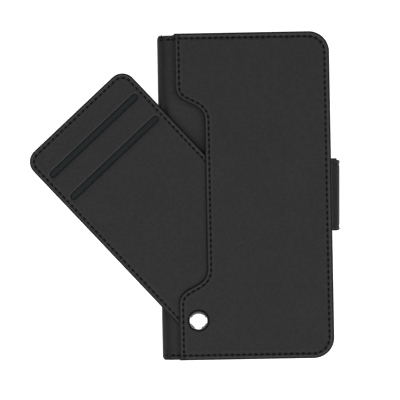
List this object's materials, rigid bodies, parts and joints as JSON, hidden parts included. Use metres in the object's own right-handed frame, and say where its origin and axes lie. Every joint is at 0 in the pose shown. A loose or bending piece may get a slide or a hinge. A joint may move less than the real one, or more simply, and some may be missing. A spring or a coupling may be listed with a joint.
{
  "type": "phone wallet case",
  "caption": "Folio phone wallet case: hinged covers round a phone tray, a clasp strap, and a card holder that swings out of the front pocket on a rivet.",
  "frame": {"origin": "middle of the tray floor that the phone's back lies on", "axes": "+X away from the spine, +Y to the top edge of the case, +Z out of the front cover"},
  "size_m": [0.1498, 0.158, 0.024],
  "materials": {
    "leather": "fine-grained black leather, low sheen",
    "lining": "smooth dark cloth",
    "stiff_board": "plain stiffener board",
    "tray": "satin black moulding",
    "slot_cloth": "dark grey-green cloth",
    "polished_steel": "polished dome",
    "dull_steel": "plain",
    "nylon": "plain"
  },
  "bodies": {
    "back_cover": {"back_cover_skin": "leather", "back_cover_board": "stiff_board", "clasp_plate": "dull_steel", "back_cover_lining": "lining", "phone_tray": "tray"},
    "spine": {"spine_skin": "leather", "spine_board": "stiff_board", "spine_lining": "lining"},
    "front_cover": {"front_cover_skin": "leather", "front_cover_board": "stiff_board", "front_cover_lining": "lining", "front_panel": "leather", "front_panel_backing": "lining", "pocket_gusset_top": "leather", "pocket_gusset_right": "leather", "pocket_gusset_bottom": "leather", "pocket_gusset_foot": "leather", "rivet_cap": "polished_steel", "rivet_post": "dull_steel", "rivet_base": "dull_steel", "rivet_washer_lower": "nylon", "rivet_washer_upper": "nylon", "strap_root": "leather"},
    "card_holder": {"holder_face": "leather", "holder_back": "leather", "holder_divider": "slot_cloth", "holder_edge_left": "leather", "holder_edge_right": "leather", "holder_edge_top": "leather", "holder_foot": "leather", "holder_eyelet": "dull_steel"},
    "strap_side": {"strap_side_skin": "leather", "strap_side_lining": "lining"},
    "strap_tongue": {"strap_tongue_skin": "leather", "strap_tongue_lining": "lining", "strap_tongue_board": "stiff_board", "strap_magnet_upper": "dull_steel", "strap_magnet_lower": "dull_steel"}
  },
  "joints": [
    {"name": "spine_fold", "type": "hinge", "parent": "back_cover", "child": "spine", "pos_m": [-0.0419, 0, -0.0036], "axis": [0, -1, 0], "range_deg": [0, 180], "deforming": ["strap_side_skin", "strap_side_lining", "strap_tongue_skin", "strap_tongue_lining", "strap_tongue_board", "strap_magnet_upper", "strap_magnet_lower"]},
    {"name": "cover_fold", "type": "hinge", "parent": "spine", "child": "front_cover", "pos_m": [-0.0419, 0, 0.0113], "axis": [0, -1, 0], "range_deg": [0, 90], "deforming": ["strap_side_skin", "strap_side_lining", "strap_tongue_skin", "strap_tongue_lining", "strap_tongue_board", "strap_magnet_upper", "strap_magnet_lower"]},
    {"name": "card_holder_swing", "type": "hinge", "parent": "front_cover", "child": "card_holder", "pos_m": [-0.0241, -0.0598, 0.0132], "axis": [0, 0, -1], "range_deg": [-47.6, 42.4]},
    {"name": "strap_fold", "type": "hinge", "parent": "front_cover", "child": "strap_side", "pos_m": [0.04446, 0, 0.00966], "axis": [0, -1, 0], "range_deg": [0, 90]},
    {"name": "strap_tip_fold", "type": "hinge", "parent": "strap_side", "child": "strap_tongue", "pos_m": [0.04446, 0, -0.00396], "axis": [0, -1, 0], "range_deg": [0, 90]}
  ]
}
